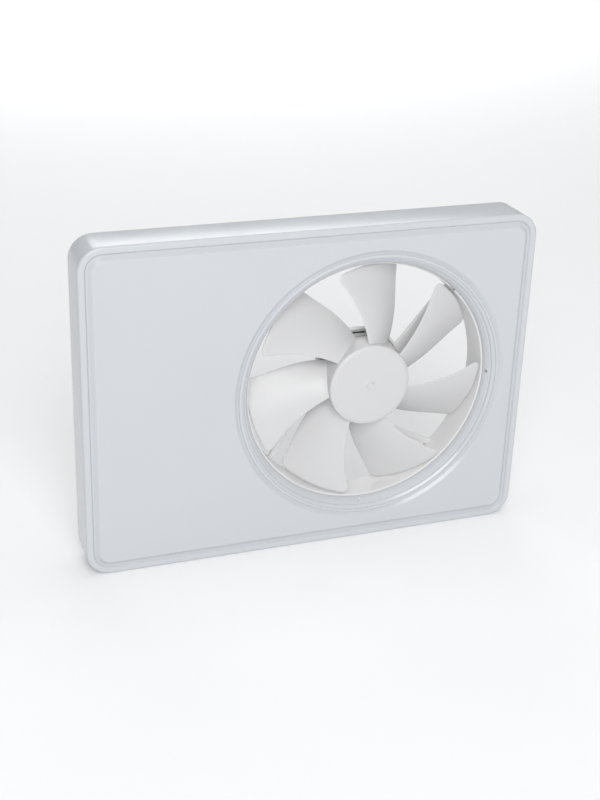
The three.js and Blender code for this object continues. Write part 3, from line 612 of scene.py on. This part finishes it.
# ---------------------------------------------------------------- impeller
BLADES = 7
HUB_R = 27.0
HUB_FRONT = DEPTH - 3.6
HUB_REAR = 7.5
HUB_WALL = 1.6
HUB_SEGMENTS = 160
TIP_R = 78.0
ROOT_R = HUB_R - 0.7
BLADE_THICK = 1.9
CHORD_STEPS = 36
SPAN_STEPS = 30
# The blade's edges, in degrees round the axis and millimetres behind the case's front; a pair
# is the value at the hub and at the tip.
TRAILING_ANGLE = 100
TRAILING_SWEEP = 24.6
LEADING_ANGLES = (143.6, 160.4)
TRAILING_DEPTHS = (22.2, 23.6)
LEADING_DEPTHS = (7.6, 6.6)
CAMBER = 1.7
TIP_CORNER = 0.12  # the share of the chord that each rounded corner of the tip takes
TIP_CORNER_DROP = 5.0


def lerp(a, b, t):
    return a + (b - a) * t


def blade_middle(along, radius):
    """The blade's middle surface; `along` runs from the trailing to the leading edge."""
    span = (radius - HUB_R) / (TIP_R - HUB_R)
    trailing = TRAILING_ANGLE + TRAILING_SWEEP * (1 - max(1 - span, 0) ** 1.6)
    leading = lerp(*LEADING_ANGLES, span)
    trailing_z = DEPTH - lerp(*TRAILING_DEPTHS, span) - 0.6 * math.sin(math.pi * span)
    leading_z = DEPTH - lerp(*LEADING_DEPTHS, span) - 0.8 * math.sin(math.pi * span)
    angle = math.radians(lerp(trailing, leading, along))
    z = lerp(trailing_z, leading_z, along) + CAMBER * math.sin(math.pi * along)
    return Vector((radius * math.cos(angle), radius * math.sin(angle), z))


def tip_radius(along):
    """The blade's outline at its tip: an arc with both corners rounded."""
    edge = min(along, 1 - along) / TIP_CORNER
    if edge >= 1:
        return TIP_R
    return TIP_R - TIP_CORNER_DROP * (1 - math.sqrt(max(1 - (1 - edge) ** 2, 0)))


def blade_point(along, span, side):
    """A point of the blade's front (side 1) or back (side -1), thinner towards its edges."""
    radius = lerp(ROOT_R, tip_radius(along), span)
    step = 0.02
    point = blade_middle(along, radius)
    normal = (blade_middle(along + step, radius) - point).cross(
        blade_middle(along, radius + step) - point).normalized()
    edge = 1 - abs(2 * along - 1) ** 10
    tip = 1 - max((span - 0.97) / 0.03, 0) ** 2
    root = 1 + 1.3 * math.exp(-(radius - ROOT_R) / 1.6)
    body = 0.62 + 0.38 * math.sin(math.pi * along)
    half = BLADE_THICK / 2 * body * root * math.sqrt(max(edge, 0)) * math.sqrt(max(tip, 0))
    return point + normal * half * side


def eased(t):
    """More points towards both ends, where the section rounds over."""
    return 0.5 - 0.5 * math.cos(math.pi * t)


def make_blade():
    """One blade: closed sections from the root to the tip, and a cap of quads at each end."""
    bm = bmesh.new()
    front = [(eased(i / CHORD_STEPS), 1) for i in range(CHORD_STEPS + 1)]
    back = [(eased(i / CHORD_STEPS), -1) for i in range(CHORD_STEPS - 1, 0, -1)]
    loops = []
    for j in range(SPAN_STEPS + 1):
        span = 1 - (1 - j / SPAN_STEPS) ** 1.6
        loops.append([bm.verts.new(blade_point(along, span, side))
                      for along, side in front + back])
    for first, second in zip(loops, loops[1:]):
        bridge(bm, first, second)
    for loop in (loops[0], loops[-1]):
        for i in range(CHORD_STEPS):
            quad = [loop[i], loop[i + 1], loop[-i - 1] if i + 1 < CHORD_STEPS else loop[i + 1],
                    loop[-i] if i else loop[0]]
            unique = list(dict.fromkeys(quad))
            if len(unique) > 2:
                bm.faces.new(unique)
    return bm


def make_hub():
    """A cup that is closed in front, with a small dot, groove and ring in its middle."""
    bm = bmesh.new()
    front = HUB_FRONT
    inner = HUB_R - HUB_WALL
    profile = rounded_profile(
        [(0, front, 0), (1.3, front, 0.2), (1.6, front - 0.35, 0.15),
         (2.1, front - 0.35, 0.15), (2.6, front + 0.25, 0.25), (3.3, front + 0.25, 0.25),
         (3.8, front, 0.2), (HUB_R - 2.6, front, 2.0), (HUB_R, front - 0.9, 1.6),
         (HUB_R, HUB_REAR, 0.4), (inner, HUB_REAR, 0.3), (inner, front - 1.8, 0.8),
         (0, front - 1.8, 0)], 6, closed=False)
    lathe(bm, profile, HUB_SEGMENTS, closed=False)
    return bm


def make_impeller():
    blades = bmesh.new()
    for i in range(BLADES):
        add_to(blades, make_blade(), Matrix.Rotation(2 * math.pi * i / BLADES, 4, "Z"))
    gate_mark = moved(rod((0, 0), 1.5, -0.4, 0.12, 0.1), -21, 2.5, HUB_FRONT)
    bm = combined(make_hub(), [blades, gate_mark])
    placed("impeller_blades", bm, FAN_PLACE, "rotor", "rotor_plastic", ["impeller"], sharp=42)


make_impeller()


# ---------------------------------------------------------------- fan frame
SHROUD_R = 79.6
SHROUD_OUT_R = 82.0
SHROUD_TOP = INLET_REAR - 0.5
FLANGE_R = 93.5
FLANGE_Z = (2.9, 5.2)
MOTOR_PLATE_R = 31.0
MOTOR_BORE_R = 6.1
PLATE_FRONT = 1.6
PLATE_RIM_FRONT = 3.4
SLOT_Y = MOTOR_PLATE_R - 4  # the middle of the slot in the motor plate
FRAME_SCREW_HOLE_R = 1.7
# The motor lead's groove runs along the wide strut to its way out through the shroud.
LEAD_ANGLE = 50.0
LEAD_OFFSET = 14.0
LEAD_HALF = 1.5
LEAD_DEPTH = 2.3
LEAD_START_R = 19.0
LEAD_EXIT_ANGLE = 42.5
CATCH_ANGLE = 47.5
STRUT_DEPTH = 2.8
# angle, distance beside the fan axis and width
STRUTS = [(-26.8, 26.9, 4.0), (-116.8, 26.9, 4.0), (-191.8, 26.9, 4.0),
          (LEAD_ANGLE, LEAD_OFFSET, 10.0)]


def polar(radius, degrees):
    angle = math.radians(degrees)
    return radius * math.cos(angle), radius * math.sin(angle)


def make_shroud():
    return turned(
        [(SHROUD_R, 0, 0.4), (SHROUD_OUT_R, 0, 0.4), (SHROUD_OUT_R, FLANGE_Z[0], 0.3),
         (FLANGE_R, FLANGE_Z[0], 0.4), (FLANGE_R, FLANGE_Z[1], 0.4),
         (SHROUD_OUT_R, FLANGE_Z[1], 0.8), (SHROUD_OUT_R, SHROUD_TOP, 0.6),
         (SHROUD_R, SHROUD_TOP, 0.6)], RING_SEGMENTS)


def make_strut(angle, offset, width):
    """A bar beside the fan axis, from the motor plate out to the shroud."""
    reach = math.sqrt((SHROUD_R + 1) ** 2 - offset ** 2)
    inner = MOTOR_PLATE_R - 1
    start = math.sqrt(max(inner ** 2 - (offset + width / 2) ** 2, 0))
    bar = block((start, -offset - width / 2, 0), (reach, -offset + width / 2, STRUT_DEPTH), 0.6)
    return moved(bar, turn=Matrix.Rotation(math.radians(angle), 4, "Z"))


def square_tool(place, size, low, high):
    """A square block about a place, to cut with."""
    x, y = place
    return block((x - size / 2, y - size / 2, low), (x + size / 2, y + size / 2, high))


def make_motor_plate():
    """The disc behind the hub: a rim in front, a shaft hole and two shallow rings behind."""
    rim = MOTOR_PLATE_R - 2
    return turned(
        [(MOTOR_BORE_R, 0, 0.2), (8.5, 0, 0.1), (9.0, 0.4, 0.1), (11.0, 0.4, 0.1), (11.5, 0, 0.1),
         (26.5, 0, 0.1), (27.0, 0.4, 0.1), (28.2, 0.4, 0.1), (28.7, 0, 0.1),
         (MOTOR_PLATE_R, 0, 0.5), (MOTOR_PLATE_R, PLATE_RIM_FRONT, 0.4),
         (rim, PLATE_RIM_FRONT, 0.4), (rim, PLATE_FRONT, 0.3), (MOTOR_BORE_R, PLATE_FRONT, 0.2)],
        128)


def make_fan_frame():
    """Shroud, struts and motor plate, with the cuts that go through them."""
    slot = block((-5, SLOT_Y - 1.3, -1), (5, SLOT_Y + 1.3, 0.8))
    bar_gap = block((-4.6, SLOT_Y - 0.6, -1), (4.6, SLOT_Y + 0.6, 5))
    notch = block((-6, SLOT_Y - 1.6, 1.2), (6, SLOT_Y + 2.8, 5))
    start = math.sqrt(LEAD_START_R ** 2 - LEAD_OFFSET ** 2)
    groove = moved(block((start, -LEAD_OFFSET - LEAD_HALF, -1),
                         (FLANGE_R + 6.5, -LEAD_OFFSET + LEAD_HALF, LEAD_DEPTH)),
                   turn=Matrix.Rotation(math.radians(LEAD_ANGLE), 4, "Z"))
    tools = [
        slot, bar_gap, notch, groove,
        square_tool(polar(SHROUD_R + 1.2, LEAD_EXIT_ANGLE), 10, -1, LEAD_DEPTH),
        square_tool(polar(SHROUD_R + 1.5, CATCH_ANGLE), 5, SHROUD_TOP - 1.8, SHROUD_TOP + 1),
        block((-89.3, -4, -1), (-82.3, 7, 12)),
    ]
    for i in range(4):
        x, y = centre_of(f"frame_screw_{i + 1}")
        tools.append(rod((x - FAN_X, y - FAN_Y), FRAME_SCREW_HOLE_R, -1, 8))
    struts = [make_strut(*strut) for strut in STRUTS]
    bm = cut(combined(make_shroud(), [*struts, make_motor_plate()]), tools)
    placed("fan_frame_shell", bm, FAN_PLACE, "housing", "frame_plastic", ["fan_frame"], sharp=32)


def make_slot_shade_strip():
    """A black strip with a lip in the motor plate's slot: painted shade, a dark piece that stands in for the shade
    of the narrow slot.
    """
    strip = block((-4.8, SLOT_Y - 1.1, 0.1), (4.8, SLOT_Y + 1.1, 0.7), 0.15)
    lip = block((-4.4, SLOT_Y - 0.5, 0.5), (4.4, SLOT_Y + 0.5, 1.15), 0.1)
    # Painted shade: the strip is drawn in the black rubber material so that the slot reads as shaded.
    placed("slot_shade_strip", combined(strip, [lip]), FAN_PLACE, "housing", "rubber")


make_fan_frame()
make_slot_shade_strip()


# ---------------------------------------------------------------- base plate
PLATE_INSET = 2.8
PLATE_THICK = 2.6
PLATE_WALL = 2.0
PLATE_RIM = 10.0
PLATE_HOLE_R = 86.0
GROMMET_AT = (-119, -57)
GROMMET_HOLE_R = 9.0
BUSH_POSTS = corners_of(WIDTH / 2 - PIN_INSET, HEIGHT / 2 - PIN_INSET)
BUSH_POST_R = 7
BUSH_SEAT_R = 5.3
WALL_HOLES = [(x, y) for x in (-104, 112) for y in (-94.5, 94.5)]
WALL_HOLE_R = 2.4
BOARD_POSTS = [(-97 + x, 28 + y) for x, y in corners_of(29, 46)]
CLAMP_POSTS = [(-98, -67), (-98, -47)]
POST_R = 3.4
POST_REAR = 1  # the posts start inside the plate
LID_HOLES = [(-84, 86.5), (-84, -86.5)]
SCREW_HOLE_R = 1.5


def make_base_plate():
    """A shallow tray with posts for the bushes, the board and the clamp."""
    bm = bmesh.new()
    back, front = round_the_case(bm, [
        (PLATE_INSET + 8, 0, 0),
        (PLATE_INSET, 0, 0.6),
        (PLATE_INSET, PLATE_RIM, 0.5),
        (PLATE_INSET + PLATE_WALL, PLATE_RIM, 0.5),
        (PLATE_INSET + PLATE_WALL, PLATE_THICK, 0.6),
        (PLATE_INSET + 8, PLATE_THICK, 0),
    ])
    fill(bm, back)
    fill(bm, front)
    posts = [rod(place, BUSH_POST_R, POST_REAR, 11, 0.4, 48) for place in BUSH_POSTS]
    posts += [rod(place, POST_R, POST_REAR, 5, 0.3) for place in BOARD_POSTS]
    posts += [rod(place, POST_R, POST_REAR, 7.5, 0.3) for place in CLAMP_POSTS]
    holes = [
        rod((FAN_X, FAN_Y), PLATE_HOLE_R, -1, 6, 0, RING_SEGMENTS),
        rod(GROMMET_AT, GROMMET_HOLE_R, -1, 6, 0, 64),
    ]
    holes += [rod(place, BUSH_SEAT_R, 3, 14, 0, 48) for place in BUSH_POSTS]
    holes += [rod(place, WALL_HOLE_R, -1, 6) for place in WALL_HOLES]
    holes += [rod(place, SCREW_HOLE_R, POST_REAR, 12) for place in BOARD_POSTS + CLAMP_POSTS]
    holes += [rod(place, SCREW_HOLE_R, -1, 6) for place in LID_HOLES]
    holes += [rod(centre_of(f"frame_screw_{i + 1}"), SCREW_HOLE_R, -1, 6) for i in range(4)]
    placed("base_plate_tray", cut(combined(bm, posts), holes), STAND, "housing",
           "base_plastic", ["base_plate"])


def make_bush(node):
    """A rubber bush that the cover's pin pushes into."""
    bm = moved(turned([(2.5, 5.4, 0.4), (5, 3.3, 0.3), (5, 11.5, 0.4), (4.2, 12.3, 0.3),
                       (3.3, 12.3, 0.3), (2.5, 11, 0.3)], 48), *centre_of(node))
    placed(node + "_turned", bm, STAND, "housing", "rubber", [node])


def make_grommet():
    """The rubber ring that the supply cord goes through."""
    bm = moved(turned([(3.2, 0.8, 0.3), (8.7, 0.8, 0.3), (8.7, 2.9, 0), (11, 2.9, 0.3),
                       (10.4, 4.6, 0.8), (5.4, 5.4, 0.6), (4, 8.4, 0.3), (3.2, 8.4, 0.3)], 64),
               *GROMMET_AT)
    placed("grommet_turned", bm, STAND, "housing", "rubber", ["cable_grommet"])


# ---------------------------------------------------------------- screws
SCREW_HEAD = 1.7
RECESS_HALF = 0.35
# name, how many, head radius and shank radius
SCREWS = [("terminal_screw", 3, 2.2, 1.4), ("board_screw", 4, 2.8, 1.2),
          ("frame_screw", 4, 3.0, 1.2), ("lid_screw", 2, 3.0, 1.2), ("clamp_screw", 2, 2.8, 1.2)]


def make_screw(node, head_radius, shank_radius):
    """A pan-head screw with a cross recess."""
    low, high = (corner.z for corner in wall_box(node))
    under = high - SCREW_HEAD
    x, y = centre_of(node)
    bm = moved(turned([(0, low, 0), (shank_radius, low, 0.4), (shank_radius, under, 0),
                       (head_radius, under, 0.2), (head_radius, high, 0.9), (0, high, 0)],
                      40, False), x, y)
    arm, half = head_radius * 0.6, RECESS_HALF
    across = block((x - arm, y - half, high - 1), (x + arm, y + half, high + 1))
    along = block((x - half, y - arm, high - 1), (x + half, y + arm, high + 1))
    placed(node + "_turned", cut(bm, [across, along]), STAND, "housing", "zinc_steel", [node])


make_base_plate()
make_grommet()
for i in range(4):
    make_bush(f"cover_bush_{i + 1}")
for stem, count, head_radius, shank_radius in SCREWS:
    for i in range(count):
        make_screw(f"{stem}_{i + 1}", head_radius, shank_radius)


# ---------------------------------------------------------------- softened edges
FLAT_ANGLE = 0.5  # in degrees, the most that joined faces may differ
CORNER_ANGLE = 40
# The width of the rounded edge on each CAD piece that stays as it is
SOFT_EDGES = {
    "electronics_lid": 0.35, "terminal_block": 0.3, "cord_clamp": 0.3, "transformer": 0.3,
    "motor_connector": 0.2, "ribbon_header": 0.2, "humidity_sensor": 0.2, "microcontroller": 0.15,
    "control_board": 0.12, "touch_board": 0.12, "motor_board": 0.12, "touch_ribbon": 0.1,
    "bulk_capacitor": 0.6, "output_capacitor": 0.6, "fuse": 0.25, "varistor": 0.6,
    "touch_pad_1": 0.3, "touch_pad_2": 0.3, "touch_pad_3": 0.3, "status_led": 0.4,
    "rotor_yoke": 0.25, "magnet_ring": 0.25, "rotor_shaft": 0.2, "retaining_ring": 0.1,
    "rear_bearing": 0.2, "front_bearing": 0.2, "bearing_tube": 0.2, "stator_core": 0.15,
    "hall_sensor": 0.15, "motor_lead": 0.3,
    **{f"stator_coil_{i + 1}": 0.8 for i in range(6)},
}


def soften(node, width):
    """Joins the flat faces' triangles and rounds the corners between them."""
    flat = node.modifiers.new("flat_faces", "DECIMATE")
    flat.decimate_type = "DISSOLVE"
    flat.angle_limit = math.radians(FLAT_ANGLE)
    edge = node.modifiers.new("soft_edges", "BEVEL")
    edge.width = width * MM
    edge.segments = 2
    edge.limit_method = "ANGLE"
    edge.angle_limit = math.radians(CORNER_ANGLE)
    edge.harden_normals = True


for name, width in SOFT_EDGES.items():
    soften(frame["nodes"][name], width)
